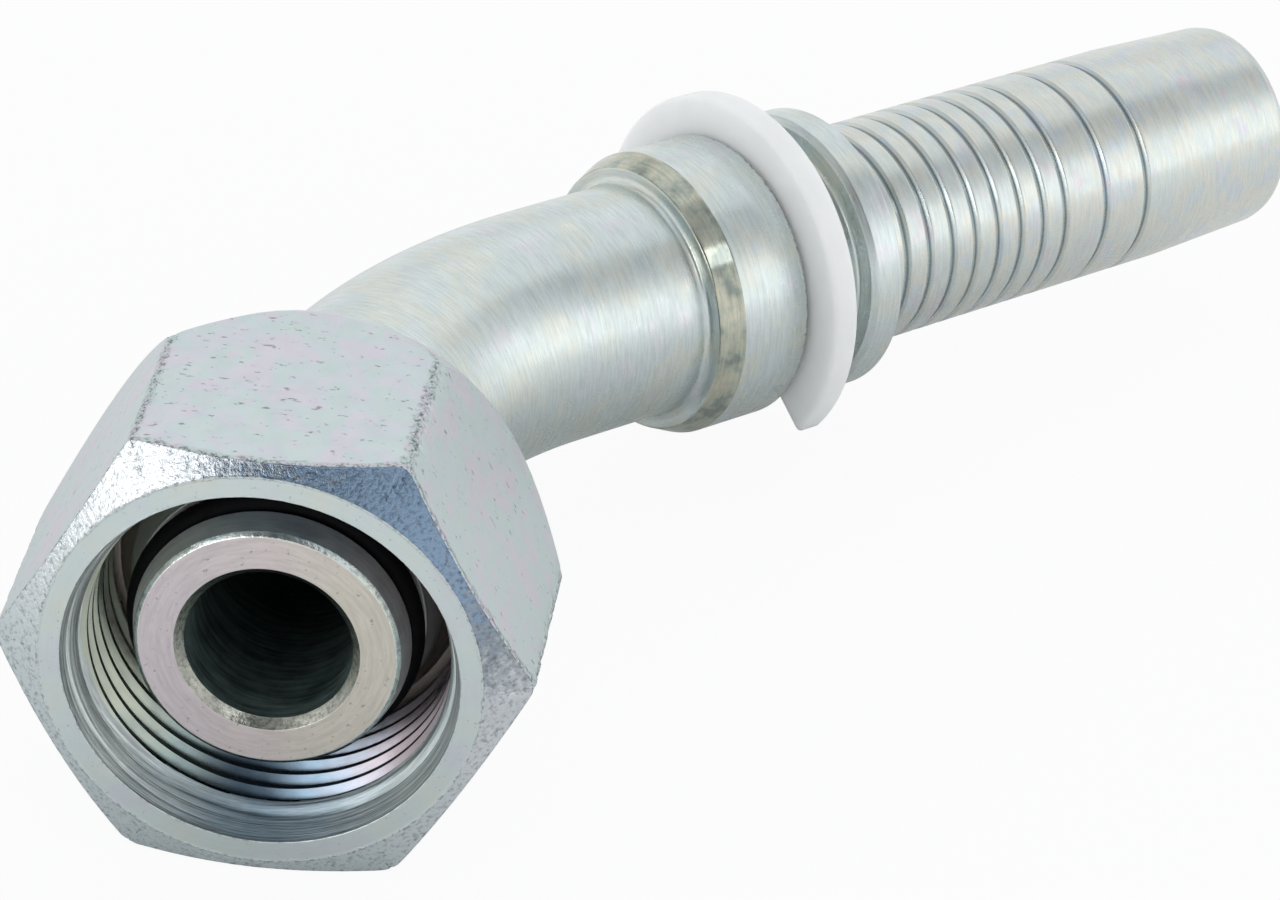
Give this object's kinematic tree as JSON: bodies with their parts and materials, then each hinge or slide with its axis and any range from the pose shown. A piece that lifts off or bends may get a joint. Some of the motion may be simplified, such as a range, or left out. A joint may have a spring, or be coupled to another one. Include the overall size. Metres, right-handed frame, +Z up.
{
  "type": "hydraulic hose fitting",
  "caption": "Bent steel hydraulic hose fitting with a swivelling hexagon union nut, a sealing cone with an O-ring and a grooved hose tail.",
  "frame": {"origin": "centre of the sealing cone's tip face, on the axis of the swivel nut", "axes": "+X runs out of the nut along its axis, +Z is up with the fitting lying on one flat of the nut and the hose tail going off to -X and +Y"},
  "size_m": [0.1215, 0.097, 0.036],
  "materials": {
    "plated_steel": "turned and bent steel with clear blue zinc plating",
    "plated_nut": "hexagon steel with clear blue zinc plating and small pits",
    "black_rubber": "smooth black nitrile rubber",
    "white_plastic": "moulded off-white plastic with a soft sheen"
  },
  "bodies": {
    "nipple": {"bent_hose_nipple": "plated_steel", "cone_o_ring": "black_rubber", "ferrule_clip_ring": "white_plastic"},
    "nut": {"swivel_nut": "plated_nut"}
  },
  "joints": [
    {"name": "nut_swivel", "type": "hinge", "parent": "nipple", "child": "nut", "pos_m": [0, 0, 0], "axis": [1, 0, 0], "continuous": true}
  ]
}
